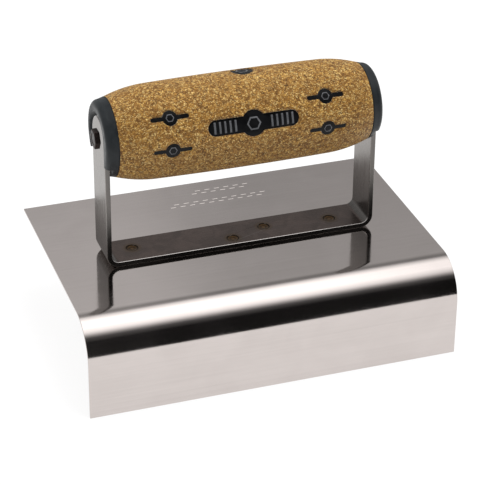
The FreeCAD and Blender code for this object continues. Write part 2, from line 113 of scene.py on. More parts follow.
class Slot(Enum):
    """The record's material slots."""

    SHEET = "polished_sheet"
    STRAP = "satin_strap"
    WELD = "weld_steel"
    CORE = "core_plastic"
    CORK = "cork"
    INLAY = "inlay_black"
    CAP = "cap_plastic"
    SCREW = "dark_screw"


class Side(Enum):
    """The two ends of the handle."""

    LEFT = -1
    RIGHT = 1


# The slots whose pieces show in the steel's reflections.
MIRRORED = frozenset({Slot.SHEET, Slot.STRAP, Slot.WELD})


def grey(level: float) -> Colour:
    """A neutral colour of one level."""
    return (level, level, level)


# ---- shader graphs


class Graph:
    """A node tree under construction."""

    def __init__(self, owner: Material | bpy.types.World) -> None:
        """Turns the owner's nodes on.

        Args:
            owner: The material or the world that the nodes belong to.
        """
        owner.use_nodes = True
        self.tree = owner.node_tree

    def add(self, kind: str, **settings: object) -> bpy.types.Node:
        """Adds a node.

        Args:
            kind: The node's type name.
            settings: Properties to set on it.

        Returns:
            The new node.
        """
        node = self.tree.nodes.new(kind)
        for key, setting in settings.items():
            setattr(node, key, setting)
        return node

    def put(self, socket: Socket, source: object) -> None:
        """Links a socket to another socket, or sets it to a plain value.

        Args:
            socket: The input to feed.
            source: An output socket or a value.
        """
        if isinstance(source, Socket):
            self.tree.links.new(source, socket)
        else:
            socket.default_value = source

    def scaled(self, vector: Socket, factor: float) -> Socket:
        """A vector times a number.

        Args:
            vector: The vector.
            factor: The number.

        Returns:
            The longer or shorter vector.
        """
        node = self.add("ShaderNodeVectorMath", operation="SCALE")
        self.put(node.inputs[0], vector)
        node.inputs["Scale"].default_value = factor
        return node.outputs[0]

    def stretched(self, vector: Socket, scale: Triple, turn: Triple = (0.0, 0.0, 0.0)) -> Socket:
        """A vector turned (in degrees) and scaled by axis, for grain with a direction.

        Args:
            vector: The position to change.
            scale: The factor along each axis.
            turn: The turn about each axis, in degrees.

        Returns:
            The changed position.
        """
        node = self.add("ShaderNodeMapping")
        self.put(node.inputs["Vector"], vector)
        node.inputs["Rotation"].default_value = tuple(math.radians(angle) for angle in turn)
        node.inputs["Scale"].default_value = scale
        return node.outputs["Vector"]

    def math(self, operation: str, first: Input, second: Input = 0.0) -> Socket:
        """One sum on numbers or sockets.

        Args:
            operation: The sum's name.
            first: A number or a socket.
            second: A number or a socket.

        Returns:
            The result.
        """
        node = self.add("ShaderNodeMath", operation=operation)
        self.put(node.inputs[0], first)
        self.put(node.inputs[1], second)
        return node.outputs[0]

    def weighted(self, first: Socket, share: Input, second: Socket, other: Input) -> Socket:
        """Two values added, each times its share.

        Args:
            first: A value.
            share: The first value's share.
            second: A value.
            other: The second value's share.

        Returns:
            The total.
        """
        return self.math("ADD", self.math("MULTIPLY", first, share), self.math("MULTIPLY", second, other))

    def fit(self, source: Socket, low: float, high: float, to_low: Input, to_high: Input) -> Socket:
        """Maps one range of values to another, clamped.

        Args:
            source: The value to map.
            low: Start of the range it comes from.
            high: End of the range it comes from.
            to_low: What low becomes.
            to_high: What high becomes.

        Returns:
            The mapped value.
        """
        node = self.add("ShaderNodeMapRange", interpolation_type="SMOOTHSTEP")
        for key, item in (
            ("Value", source), ("From Min", low), ("From Max", high), ("To Min", to_low), ("To Max", to_high)
        ):
            self.put(node.inputs[key], item)
        return node.outputs["Result"]

    def ramp(self, source: Socket, stops: Iterable[Stop]) -> Socket:
        """A colour ramp.

        Args:
            source: The value that runs along the ramp.
            stops: Places and colours, from low to high.

        Returns:
            The ramp's colour.
        """
        node = self.add("ShaderNodeValToRGB")
        stops = list(stops)
        elements = node.color_ramp.elements
        while len(elements) < len(stops):
            elements.new(1.0)
        for element, (place, colour) in zip(elements, stops):
            element.position = place
            element.color = (*colour, 1.0)
        self.put(node.inputs[0], source)
        return node.outputs["Color"]

    def mix(self, amount: Input, first: object, second: object, blend: str = "MIX") -> Socket:
        """Mixes two colours.

        Args:
            amount: Share of the second colour.
            first: A colour or a socket.
            second: A colour or a socket.
            blend: How they combine.

        Returns:
            The mixed colour.
        """
        node = self.add("ShaderNodeMix", data_type="RGBA", blend_type=blend)
        self.put(node.inputs[0], amount)
        for socket, source in ((node.inputs[6], first), (node.inputs[7], second)):
            self.put(socket, (*source, 1.0) if isinstance(source, tuple) else source)
        return node.outputs[2]

    def bump(self, height: Socket, depth: float, strength: float, under: Socket | None = None) -> Socket:
        """Turns a height into a normal.

        Args:
            height: The height, from 0 to 1.
            depth: How deep that is, in millimetres.
            strength: How much of it shows.
            under: A normal to add to.

        Returns:
            The normal.
        """
        node = self.add("ShaderNodeBump")
        node.inputs["Strength"].default_value = strength
        node.inputs["Distance"].default_value = depth * MM
        self.put(node.inputs["Height"], height)
        if under is not None:
            self.put(node.inputs["Normal"], under)
        return node.outputs["Normal"]

    def axes(self, vector: Socket) -> list[Socket]:
        """Splits a vector.

        Args:
            vector: The vector.

        Returns:
            Its x, y and z.
        """
        node = self.add("ShaderNodeSeparateXYZ")
        self.put(node.inputs[0], vector)
        return list(node.outputs)


class Finish(Graph):
    """A material under construction, with a Principled surface and positions in millimetres."""

    def __init__(self, name: str) -> None:
        """Starts a material.

        Args:
            name: The material's name.
        """
        self.material = bpy.data.materials.new(name)
        super().__init__(self.material)
        self.surface = self.tree.nodes["Principled BSDF"]
        self.millimetres = self.scaled(self.add("ShaderNodeTexCoord").outputs["Object"], 1 / MM)

    def set(self, **values: object) -> None:
        """Sets or links inputs of the Principled surface.

        Args:
            values: What each input gets. An underscore in its name stands for a space.
        """
        for key, source in values.items():
            if isinstance(source, tuple) and len(source) == 3:
                source = (*source, 1.0)
            self.put(self.surface.inputs[key.replace("_", " ")], source)

    def noise(self, scale: float, detail: float, vector: Socket | None = None, warp: float = 0.0) -> Socket:
        """Smooth noise.

        Args:
            scale: Features per millimetre.
            detail: Number of finer layers.
            vector: Where to read it; the plain position if left out.
            warp: How far the noise folds into itself.

        Returns:
            The noise's value.
        """
        node = self.add("ShaderNodeTexNoise")
        self.put(node.inputs["Vector"], vector or self.millimetres)
        node.inputs["Scale"].default_value = scale
        node.inputs["Detail"].default_value = detail
        node.inputs["Distortion"].default_value = warp
        return node.outputs["Fac"]

    def cells(self, scale: float, vector: Socket, feature: str = "F1") -> bpy.types.Node:
        """A Voronoi node over positions in millimetres.

        Args:
            scale: Cells per millimetre.
            vector: Where to read it.
            feature: Which distance it measures.

        Returns:
            The node.
        """
        node = self.add("ShaderNodeTexVoronoi", feature=feature)
        self.put(node.inputs["Vector"], vector)
        node.inputs["Scale"].default_value = scale
        return node

    def distance(self, x: float, y: float) -> Socket:
        """Distance in plan, in millimetres, from a point of the foot.

        Args:
            x: The point's place along the handle.
            y: The point's place across it.

        Returns:
            The distance.
        """
        across, along, _ = self.axes(self.millimetres)
        first = self.math("POWER", self.math("SUBTRACT", across, x), 2.0)
        second = self.math("POWER", self.math("SUBTRACT", along, y), 2.0)
        return self.math("SQRT", self.math("ADD", first, second))


# ---- finishes


@dataclass(frozen=True)
class PolishedSheet:
    """Polished stainless sheet: near-mirror on the flat, softer where it is bent, with faint streaks."""

    name: str = "polished_sheet"
    tint: Colour = (0.635, 0.578, 0.556)
    dull_tint: Colour = (0.592, 0.538, 0.516)
    tint_range: Span = (0.35, 0.62)
    flat_rough: Span = (0.075, 0.12)
    bent_rough: Span = (0.10, 0.135)
    rough_range: Span = (0.35, 0.68)
    bend_starts: float = -33.0
    bend_settled: float = -44.0
    streak_grain: Triple = (0.012, 1.6, 1.6)
    streak_share: float = 0.4
    streak_depth: float = 0.0002
    smear_scale: float = 0.045
    smear_warp: float = 0.8
    cloud_scale: float = 0.012
    cloud_depth: float = 0.5
    relief: float = 0.3

    def build(self) -> Material:
        """Makes the material.

        Returns:
            The material.
        """
        graph = Finish(self.name)
        _, along, _ = graph.axes(graph.millimetres)
        streaks = graph.noise(1.0, 4.0, graph.stretched(graph.millimetres, self.streak_grain))
        smears = graph.noise(self.smear_scale, 5.0, warp=self.smear_warp)
        clouds = graph.noise(self.cloud_scale, 2.0)
        tone = graph.weighted(streaks, self.streak_share, smears, 1.0 - self.streak_share)
        flat = graph.fit(along, self.bend_settled, self.bend_starts, 0.0, 1.0)
        low = graph.fit(flat, 0.0, 1.0, self.bent_rough[0], self.flat_rough[0])
        high = graph.fit(flat, 0.0, 1.0, self.bent_rough[1], self.flat_rough[1])
        fine = graph.bump(streaks, self.streak_depth, self.relief)
        graph.set(
            Metallic=1.0,
            Base_Color=graph.ramp(tone, zip(self.tint_range, (self.dull_tint, self.tint))),
            Roughness=graph.fit(tone, *self.rough_range, low, high),
            Normal=graph.bump(clouds, self.cloud_depth, self.relief, fine),
        )
        return graph.material


@dataclass(frozen=True)
class SatinStrap:
    """Satin strap steel with grain along the strap, painted shade and highlights, and a dark, heat-tinted
    foot.

    Heights and radii are in millimetres. A facing is how much of the surface's normal points one way.
    """

    welds: tuple[Span, ...]
    name: str = "satin_strap"
    bright: Colour = (0.335, 0.313, 0.296)
    dull: Colour = (0.205, 0.190, 0.179)
    grain_range: Span = (0.28, 0.72)
    foot: Colour = (0.102, 0.073, 0.064)
    foot_pale: float = 1.5
    tint: Colour = (0.10, 0.062, 0.030)
    rounding_highlight: Colour = (0.62, 0.585, 0.56)
    upright_shine: float = 0.12
    edge_keeps: float = 0.60
    low_keeps: float = 0.46
    upright_grain: Triple = (0.4, 4.0, 0.03)
    lying_grain: Triple = (0.03, 4.0, 0.4)
    lying_heights: Span = (3.5, 9.0)
    foot_heights: Span = (2.4, 4.0)
    shade_heights: Span = (4.0, 34.0)
    stain_scale: float = 0.12
    stain_range: Span = (0.35, 0.7)
    halo_radii: Span = (2.3, 4.6)
    halo_share: float = 0.8
    side_facing: Span = (0.85, 0.98)
    foot_facing: Span = (0.88, 0.98)
    rounding_starts: Span = (0.10, 0.25)
    rounding_ends: Span = (0.80, 0.95)
    shine_facing: Span = (0.15, 0.45)
    rough_range: Span = (0.25, 0.75)
    rough: Span = (0.19, 0.32)
    stain_rough: float = 0.08
    rounding_rough: float = 0.55
    grain_depth: float = 0.012
    stain_depth: float = 0.05

    def build(self) -> Material:
        """Makes the material.

        Returns:
            The material.
        """
        graph = Finish(self.name)
        _, _, height = graph.axes(graph.millimetres)
        _, forward, upward = graph.axes(graph.add("ShaderNodeNewGeometry").outputs["True Normal"])
        upright = graph.noise(1.0, 5.0, graph.stretched(graph.millimetres, self.upright_grain))
        lying = graph.noise(1.0, 5.0, graph.stretched(graph.millimetres, self.lying_grain))
        low = graph.fit(height, *self.lying_heights, 1.0, 0.0)
        grain = graph.weighted(lying, low, upright, graph.math("SUBTRACT", 1.0, low))
        stains = graph.noise(self.stain_scale, 5.0, warp=1.0)
        steel = graph.ramp(grain, zip(self.grain_range, (self.dull, self.bright)))
        facing = graph.math("ABSOLUTE", forward)
        # Painted shade: faces that look along the strap's width, its edge faces, are darkened to edge_keeps of
        # their colour.
        edge_face_shade = graph.fit(facing, *self.side_facing, 1.0, self.edge_keeps)
        # Painted shade: the strap grows darker towards the blade, down to low_keeps of its colour.
        low_painted_shade = graph.fit(height, *self.shade_heights, self.low_keeps, 1.0)
        steel = graph.mix(graph.math("MULTIPLY", edge_face_shade, low_painted_shade), grey(0.0), steel)
        flat = graph.fit(upward, *self.foot_facing, 0.0, 1.0)
        floor = graph.math("MULTIPLY", graph.fit(height, *self.foot_heights, 1.0, 0.0), flat)
        pale = tuple(part * self.foot_pale for part in self.foot)
        dark = graph.mix(graph.fit(stains, *self.stain_range, 0.0, 1.0), self.foot, pale)
        steel = graph.mix(floor, steel, dark)
        for x, y in self.welds:
            halo = graph.fit(graph.distance(x, y), *self.halo_radii, self.halo_share, 0.0)
            steel = graph.mix(graph.math("MULTIPLY", halo, floor), steel, self.tint)
        # Painted highlight: edge roundings are painted pale steel, fully where they face up and little on the
        # uprights, and made smoother.
        past_side = graph.fit(facing, *self.rounding_starts, 0.0, 1.0)
        before_front = graph.fit(facing, *self.rounding_ends, 1.0, 0.0)
        shine = graph.fit(upward, *self.shine_facing, self.upright_shine, 1.0)
        rounding = graph.math("MULTIPLY", graph.math("MULTIPLY", past_side, before_front), shine)
        steel = graph.mix(rounding, steel, self.rounding_highlight)
        satin = graph.fit(grain, *self.rough_range, *self.rough)
        rough = graph.math("ADD", satin, graph.math("MULTIPLY", stains, self.stain_rough))
        rough = graph.math("MULTIPLY", rough, graph.fit(rounding, 0.0, 1.0, 1.0, self.rounding_rough))
        graph.set(
            Metallic=1.0, Base_Color=steel, Roughness=rough,
            Normal=graph.bump(grain, self.grain_depth, 0.6, graph.bump(stains, self.stain_depth, 0.2)),
        )
        return graph.material


@dataclass(frozen=True)
class WeldSteel:
    """Heat-tinted spot welds: brown rings about each weld's middle, nearly black at the rim."""

    welds: tuple[Span, ...]
    name: str = "weld_steel"
    rings: tuple[Stop, ...] = (
        (0.0, (0.17, 0.105, 0.045)), (0.30, (0.11, 0.062, 0.026)), (0.46, (0.03, 0.017, 0.008)),
        (0.62, (0.11, 0.060, 0.022)), (0.76, (0.04, 0.022, 0.009)), (0.92, (0.015, 0.009, 0.005)),
    )
    far: float = 9.0
    reach: float = 3.2
    ragged: float = 0.7
    ragged_scale: float = 1.1
    pit_scale: float = 2.4
    pit_depth: float = 0.08
    rough: Span = (0.3, 0.55)

    def build(self) -> Material:
        """Makes the material.

        Returns:
            The material.
        """
        graph = Finish(self.name)
        nearest: Input = self.far
        for x, y in self.welds:
            nearest = graph.math("MINIMUM", nearest, graph.distance(x, y))
        waver = graph.math("MULTIPLY", graph.noise(self.ragged_scale, 3.0), self.ragged)
        place = graph.math("DIVIDE", graph.math("ADD", nearest, waver), self.reach)
        pits = graph.noise(self.pit_scale, 4.0)
        graph.set(
            Metallic=0.85, Base_Color=graph.ramp(place, self.rings),
            Roughness=graph.fit(pits, *MOST, *self.rough), Normal=graph.bump(pits, self.pit_depth, 0.6),
        )
        return graph.material


@dataclass(frozen=True)
class Cork:
    """Sealed granular cork: small gold, tan and brown grains with pale splinters among them."""

    name: str = "cork"
    grains: tuple[Stop, ...] = (
        (0.0, (0.078, 0.030, 0.007)),
        (0.25, (0.18, 0.078, 0.014)),
        (0.50, (0.33, 0.153, 0.026)),
        (0.75, (0.50, 0.255, 0.045)),
        (1.0, (0.86, 0.56, 0.16)),
    )
    grain_scale: float = 1.35
    fine_scale: float = 2.9
    fine_share: float = 0.4
    fold_scale: float = 0.9
    fold_detail: float = 2.0
    fold_reach: Triple = (1.6, 1.6, 1.6)
    splinter: Colour = (0.97, 0.71, 0.28)
    splinter_grain: Triple = (0.95, 2.7, 2.7)
    splinter_turns: tuple[Triple, ...] = ((0.0, 25.0, 40.0), (35.0, -30.0, -35.0), (60.0, 10.0, 80.0))
    splinter_pick: Span = (0.80, 0.88)
    splinter_edge: Span = (0.28, 0.5)
    splinter_share: float = 0.9
    gap: Colour = (0.06, 0.026, 0.008)
    gap_width: float = 0.09
    gap_share: float = 0.6
    patch: Colour = (0.24, 0.115, 0.022)
    patch_scale: float = 0.11
    patch_range: Span = (0.4, 0.7)
    patch_share: float = 0.22
    relief_width: float = 0.2
    relief_depth: float = 0.14
    rough_range: Span = (0.2, 0.8)
    rough: Span = (0.62, 0.42)

    def build(self) -> Material:
        """Makes the material.

        Returns:
            The material.
        """
        graph = Finish(self.name)
        folds = graph.add("ShaderNodeTexNoise")
        graph.put(folds.inputs["Vector"], graph.millimetres)
        folds.inputs["Scale"].default_value = self.fold_scale
        folds.inputs["Detail"].default_value = self.fold_detail
        bent = graph.add("ShaderNodeVectorMath", operation="MULTIPLY_ADD")
        graph.put(bent.inputs[0], folds.outputs["Color"])
        bent.inputs[1].default_value = self.fold_reach
        graph.put(bent.inputs[2], graph.millimetres)
        place = bent.outputs[0]
        coarse = graph.cells(self.grain_scale, place)
        edges = graph.cells(self.grain_scale, place, "DISTANCE_TO_EDGE").outputs["Distance"]
        fine = graph.cells(self.fine_scale, place)
        large = graph.axes(coarse.outputs["Color"])[0]
        small = graph.axes(fine.outputs["Color"])[1]
        shade = graph.weighted(large, 1.0 - self.fine_share, small, self.fine_share)
        colour = graph.ramp(shade, self.grains)
        for turn in self.splinter_turns:
            slivers = graph.cells(1.0, graph.stretched(place, self.splinter_grain, turn))
            picked = graph.axes(slivers.outputs["Color"])[2]
            picked = graph.fit(picked, *self.splinter_pick, 0.0, self.splinter_share)
            body = graph.fit(slivers.outputs["Distance"], *self.splinter_edge, 1.0, 0.0)
            colour = graph.mix(graph.math("MULTIPLY", picked, body), colour, self.splinter)
        colour = graph.mix(graph.fit(edges, 0.0, self.gap_width, self.gap_share, 0.0), colour, self.gap)
        patches = graph.fit(graph.noise(self.patch_scale, 3.0), *self.patch_range, 0.0, self.patch_share)
        colour = graph.mix(patches, colour, self.patch)
        relief = graph.fit(edges, 0.0, self.relief_width, 0.0, 1.0)
        relief = graph.math("ADD", relief, graph.math("MULTIPLY", small, 0.5))
        graph.set(
            Base_Color=colour, Roughness=graph.fit(shade, *self.rough_range, *self.rough),
            Normal=graph.bump(relief, self.relief_depth, 0.55),
            Specular_IOR_Level=0.4, Sheen_Weight=0.06, Sheen_Roughness=0.4,
        )
        return graph.material


@dataclass(frozen=True)
class Moulded:
    """Moulded plastic with a fine spark-eroded grain and slight rubbing."""

    name: str
    dark: Colour
    light: Colour
    rough: Span = (0.36, 0.5)
    grain_depth: float = 0.02
    grain_scale: float = 4.5
    rub_scale: float = 0.22
    rub_depth: float = 0.08
    rub_range: Span = (0.3, 0.72)
    shine: float = 0.3

    def build(self) -> Material:
        """Makes the material.

        Returns:
            The material.
        """
        graph = Finish(self.name)
        fine = graph.noise(self.grain_scale, 3.0)
        rubbed = graph.noise(self.rub_scale, 4.0, warp=0.6)
        graph.set(
            Base_Color=graph.ramp(rubbed, zip(self.rub_range, (self.dark, self.light))),
            Roughness=graph.fit(rubbed, *MOST, *self.rough),
            Specular_IOR_Level=self.shine,
            Normal=graph.bump(fine, self.grain_depth, 0.5, graph.bump(rubbed, self.rub_depth, 0.25)),
        )
        return graph.material


@dataclass(frozen=True)
class BlackOxide:
    """Blackened screw steel with brown bloom."""

    name: str = "dark_screw"
    bloom: tuple[Stop, ...] = (
        (0.3, (0.006, 0.004, 0.0035)), (0.55, (0.022, 0.013, 0.011)), (0.75, (0.06, 0.034, 0.027)),
    )
    bloom_scale: float = 0.8
    pit_scale: float = 5.0
    pit_depth: float = 0.03
    rough: Span = (0.3, 0.5)

    def build(self) -> Material:
        """Makes the material.

        Returns:
            The material.
        """
        graph = Finish(self.name)
        bloom = graph.noise(self.bloom_scale, 5.0, warp=0.5)
        graph.set(
            Metallic=0.5, Base_Color=graph.ramp(bloom, self.bloom),
            Roughness=graph.fit(bloom, *MOST, *self.rough),
            Normal=graph.bump(graph.noise(self.pit_scale, 3.0), self.pit_depth, 0.5),
        )
        return graph.material


CAP_PLASTIC = Moulded("cap_plastic", dark=(0.011, 0.0135, 0.0155), light=(0.021, 0.025, 0.028))
CORE_PLASTIC = Moulded("core_plastic", dark=(0.02, 0.02, 0.022), light=(0.035, 0.035, 0.038))
INLAY_BLACK = Moulded(
    "inlay_black", dark=(0.002, 0.002, 0.0025), light=(0.006, 0.006, 0.007), rough=(0.3, 0.42),
    grain_depth=0.01, shine=0.2,
)
INLAY_RELIEF = Moulded(
    "inlay_relief", dark=(0.085, 0.087, 0.094), light=(0.17, 0.173, 0.183), rough=(0.3, 0.42),
    grain_depth=0.01,
)


# ---- mesh helpers


def finish_piece(piece: Object, slot: Slot, materials: Iterable[Material], nodes: Iterable[str]) -> Object:
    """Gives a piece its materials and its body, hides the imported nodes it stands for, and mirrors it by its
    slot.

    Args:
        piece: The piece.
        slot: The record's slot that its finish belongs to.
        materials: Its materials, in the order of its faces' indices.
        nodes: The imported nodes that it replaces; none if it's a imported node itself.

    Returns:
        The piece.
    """
    if piece.data.materials:
        piece.data.materials.clear()
    for material in materials:
        piece.data.materials.append(material)
    piece.visible_glossy = slot in MIRRORED
    nodes = list(nodes)
    if nodes:
        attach(piece, BODY)
        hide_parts(*nodes)
    LOG.info("%s: %d faces, %s", piece.name, len(piece.data.polygons), slot.value)
    return piece


def placed(name: str, data: bpy.types.ID) -> Object:
    """Makes an object and puts it in the scene.

    Args:
        name: The object's name.
        data: Its mesh, light or camera.

    Returns:
        The object.
    """
    thing = bpy.data.objects.new(name, data)
    bpy.context.scene.collection.objects.link(thing)
    return thing


def mesh_piece(name: str, bm: BMesh, sharp: float) -> Object:
    """Makes an object from a bmesh, smooth but for edges sharper than an angle.

    Args:
        name: The object's name.
        bm: Its geometry, which is freed.
        sharp: The angle in degrees.

    Returns:
        The object.
    """
    mesh = bpy.data.meshes.new(name)
    bm.normal_update()
    bm.to_mesh(mesh)
    bm.free()
    mesh.shade_smooth()
    mesh.set_sharp_from_angle(angle=math.radians(sharp))
    piece = placed(name, mesh)
    normals = piece.modifiers.new("even_normals", "WEIGHTED_NORMAL")
    normals.keep_sharp = True
    return piece


def merged_copy(node: Object) -> BMesh:
    """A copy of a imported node's mesh with its loose triangles merged.

    Args:
        node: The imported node.

    Returns:
        The copy.
    """
    bm = bmesh.new()
    bm.from_mesh(node.data)
    bmesh.ops.remove_doubles(bm, verts=bm.verts[:], dist=LOOSE)
    return bm


def spun(profile: Iterable[Vector], centre: Vector, axis: Vector, steps: int) -> BMesh:
    """A closed solid turned from a line of points that starts and ends on an axis.

    Args:
        profile: The points, in order.
        centre: A point of the axis.
        axis: The axis's direction.
        steps: Facets in the full turn.

    Returns:
        The solid.
    """
    bm = bmesh.new()
    corners = [bm.verts.new(point) for point in profile]
    edges = [bm.edges.new(pair) for pair in zip(corners, corners[1:])]
    bmesh.ops.spin(
        bm, geom=corners + edges, cent=centre, axis=axis, angle=math.tau, steps=steps, use_merge=True
    )
    bmesh.ops.remove_doubles(bm, verts=bm.verts[:], dist=TOUCHING)
    bmesh.ops.recalc_face_normals(bm, faces=bm.faces[:])
    return bm


def join(whole: BMesh, part: BMesh) -> None:
    """Adds one bmesh to another.

    Args:
        whole: The bmesh that grows.
        part: The bmesh that is added, and freed.
    """
    mesh = bpy.data.meshes.new("part")
    part.to_mesh(mesh)
    part.free()
    whole.from_mesh(mesh)
    bpy.data.meshes.remove(mesh)


# ---- blade


@dataclass
class MarkRow:
    """One row of short dashes stamped in the blade, in staggered pairs."""

    start: float
    place: float
    pairs: int
    pitch: float = 4.2 * MM
    stagger: float = 2.2 * MM
    width: float = 2.4 * MM
    height: float = 0.6 * MM

    def dashes(self) -> list[tuple[float, float, float, float]]:
        """Lays the dashes out.

        Returns:
            Each dash's low x, high x, low y and high y.
        """
        boxes = []
        for pair in range(self.pairs):
            for shift, rise in ((0.0, 0.0), (self.pitch / 2, self.stagger)):
                x = self.start + pair * self.pitch + shift
                y = self.place + rise
                boxes.append((x, x + self.width, y, y + self.height))
        return boxes


@dataclass
class Blade:
    """The polished sheet blade with its turned-down lip and stamped rows."""

    sheet: float = 0.9 * MM
    bend: float = 16.0 * MM
    bend_steps: int = 56
    edge: float = 0.12 * MM
    edge_angle: float = 60.0
    sharp: float = 12.0
    upward: float = 0.99
    level: float = 0.01 * MM
    dash_wall: float = 0.22 * MM
    dash_depth: float = 0.08 * MM
    rows: tuple[MarkRow, ...] = (
        MarkRow(start=-18.0 * MM, place=30.6 * MM, pairs=10),
        MarkRow(start=-6.0 * MM, place=39.6 * MM, pairs=6),
    )

    def shell(self) -> BMesh:
        """The sheet: a flat, a smooth bend and a lip, with thickness and softened edges.

        Returns:
            The sheet's mesh.
        """
        low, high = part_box("blade")
        bm = bmesh.new()
        start = [bm.verts.new((x, high.y, high.z)) for x in (low.x, high.x)]
        edge = bm.edges.new(start)
        front = low.y + self.bend
        edge, ends = self.pull(bm, edge, Vector((0.0, front - high.y, 0.0)))
        turned = bmesh.ops.spin(
            bm, geom=[*ends, edge], cent=(0.0, front, high.z - self.bend), axis=(1.0, 0.0, 0.0),
            angle=math.pi / 2, steps=self.bend_steps,
        )
        last = next(item for item in turned["geom_last"] if isinstance(item, BMEdge))
        self.pull(bm, last, Vector((0.0, 0.0, low.z - (high.z - self.bend))))
        bmesh.ops.remove_doubles(bm, verts=bm.verts[:], dist=TOUCHING)
        bmesh.ops.recalc_face_normals(bm, faces=bm.faces[:])
        top = max(bm.faces, key=lambda face: face.calc_area())
        if top.normal.z < 0:
            bmesh.ops.reverse_faces(bm, faces=bm.faces[:])
        bmesh.ops.solidify(bm, geom=bm.faces[:], thickness=self.sheet)
        bmesh.ops.recalc_face_normals(bm, faces=bm.faces[:])
        limit = math.radians(self.edge_angle)
        rim = [item for item in bm.edges if item.is_manifold and item.calc_face_angle() > limit]
        bmesh.ops.bevel(
            bm, geom=rim, offset=self.edge, segments=2, profile=0.5, affect="EDGES", material=-1,
            offset_type="OFFSET", clamp_overlap=True,
        )
        return bm

    @staticmethod
    def pull(bm: BMesh, edge: BMEdge, way: Vector) -> tuple[BMEdge, list[BMVert]]:
        """Extrudes an edge.

        Args:
            bm: The mesh.
            edge: The edge to extrude.
            way: How far it goes.

        Returns:
            The new edge and its ends.
        """
        made = bmesh.ops.extrude_edge_only(bm, edges=[edge])["geom"]
        ends = [item for item in made if isinstance(item, BMVert)]
        bmesh.ops.translate(bm, verts=ends, vec=way)
        new = next(item for item in made if isinstance(item, BMEdge))
        return new, ends

    def stamp(self, bm: BMesh, row: MarkRow) -> None:
        """Stamps one row of dashes into the blade's upper face.

        Args:
            bm: The blade's mesh.
            row: The row.
        """
        boxes = row.dashes()
        top = max(vert.co.z for vert in bm.verts)

        def upper(low: float, high: float) -> list[BMFace]:
            """Finds the upper face's pieces whose middles lie between two places.

            Args:
                low: The lower y.
                high: The higher y.

            Returns:
                The faces.
            """
            return [
                face for face in bm.faces
                if face.normal.z > self.upward and abs(face.calc_center_median().z - top) < self.level
                and low < face.calc_center_median().y < high
            ]

        cuts = sorted({edge for box in boxes for edge in box[2:]})
        for place in cuts:
            self.cut(bm, upper(-math.inf, math.inf), Vector((0.0, place, 0.0)), Vector((0.0, 1.0, 0.0)))
        for place in sorted({edge for box in boxes for edge in box[:2]}):
            self.cut(bm, upper(cuts[0], cuts[-1]), Vector((place, 0.0, 0.0)), Vector((1.0, 0.0, 0.0)))
        for x_low, x_high, y_low, y_high in boxes:
            dash = [face for face in upper(y_low, y_high) if x_low < face.calc_center_median().x < x_high]
            bmesh.ops.inset_region(
                bm, faces=dash, thickness=self.dash_wall, depth=-self.dash_depth, use_even_offset=True
            )

    @staticmethod
    def cut(bm: BMesh, faces: list[BMFace], place: Vector, way: Vector) -> None:
        """Cuts some faces along a plane.

        Args:
            bm: The mesh.
            faces: The faces to cut.
            place: A point of the plane.
            way: The plane's normal.
        """
        geom = {*faces}
        for face in faces:
            geom.update(face.edges, face.verts)
        bmesh.ops.bisect_plane(bm, geom=list(geom), dist=CUT_SLACK, plane_co=place, plane_no=way)

    def build(self, finish: Material) -> Object:
        """Makes the blade.

        Args:
            finish: Its material.

        Returns:
            The blade.
        """
        bm = self.shell()
        for row in self.rows:
            self.stamp(bm, row)
        return finish_piece(mesh_piece("polished_blade", bm, self.sharp), Slot.SHEET, [finish], ["blade"])


# ---- bracket


@dataclass
class Bracket:
    """The strap bracket and the spot welds that hold it to the blade.

    The welds' places are in millimetres. Their dish gives heights in millimetres by the share of the radius.
    """

    welds: tuple[Span, ...] = ((-43.4, 1.0), (-2.5, -4.0), (12.4, 1.3), (40.3, -0.6))
    nugget: float = 2.4 * MM
    dish: tuple[Span, ...] = (
        (0.0, -0.30), (0.45, -0.30), (0.62, -0.18), (0.80, -0.12), (0.90, 0.0), (0.97, -0.02), (1.0, -0.10)
    )
    steps: int = 48
    strap_sharp: float = 35.0
    weld_sharp: float = 40.0

    def build(self, steel: Material, weld_steel: Material) -> list[Object]:
        """Makes the strap and the welds.

        Args:
            steel: The strap's material.
            weld_steel: The welds' material.

        Returns:
            Both pieces.
        """
        strap = mesh_piece("strap_bracket", merged_copy(bpy.data.objects["handle_bracket"]), self.strap_sharp)
        finish_piece(strap, Slot.STRAP, [steel], ["handle_bracket"])
        return [strap, self.build_welds(weld_steel)]

    def build_welds(self, weld_steel: Material) -> Object:
        """Makes the four welds as dished plugs.

        Args:
            weld_steel: Their material.

        Returns:
            The welds, as one piece.
        """
        low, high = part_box("spot_welds")
        whole = bmesh.new()
        for x, y in self.welds:
            centre = Vector((x * MM, y * MM, 0.0))
            points = [centre + Vector((r * self.nugget, 0.0, high.z + drop * MM)) for r, drop in self.dish]
            points += [centre + Vector((self.nugget, 0.0, low.z)), centre + Vector((0.0, 0.0, low.z))]
            join(whole, spun(points, centre, Vector((0.0, 0.0, 1.0)), self.steps))
        piece = mesh_piece("weld_marks", whole, self.weld_sharp)
        return finish_piece(piece, Slot.WELD, [weld_steel], ["spot_welds"])


# ---- handle


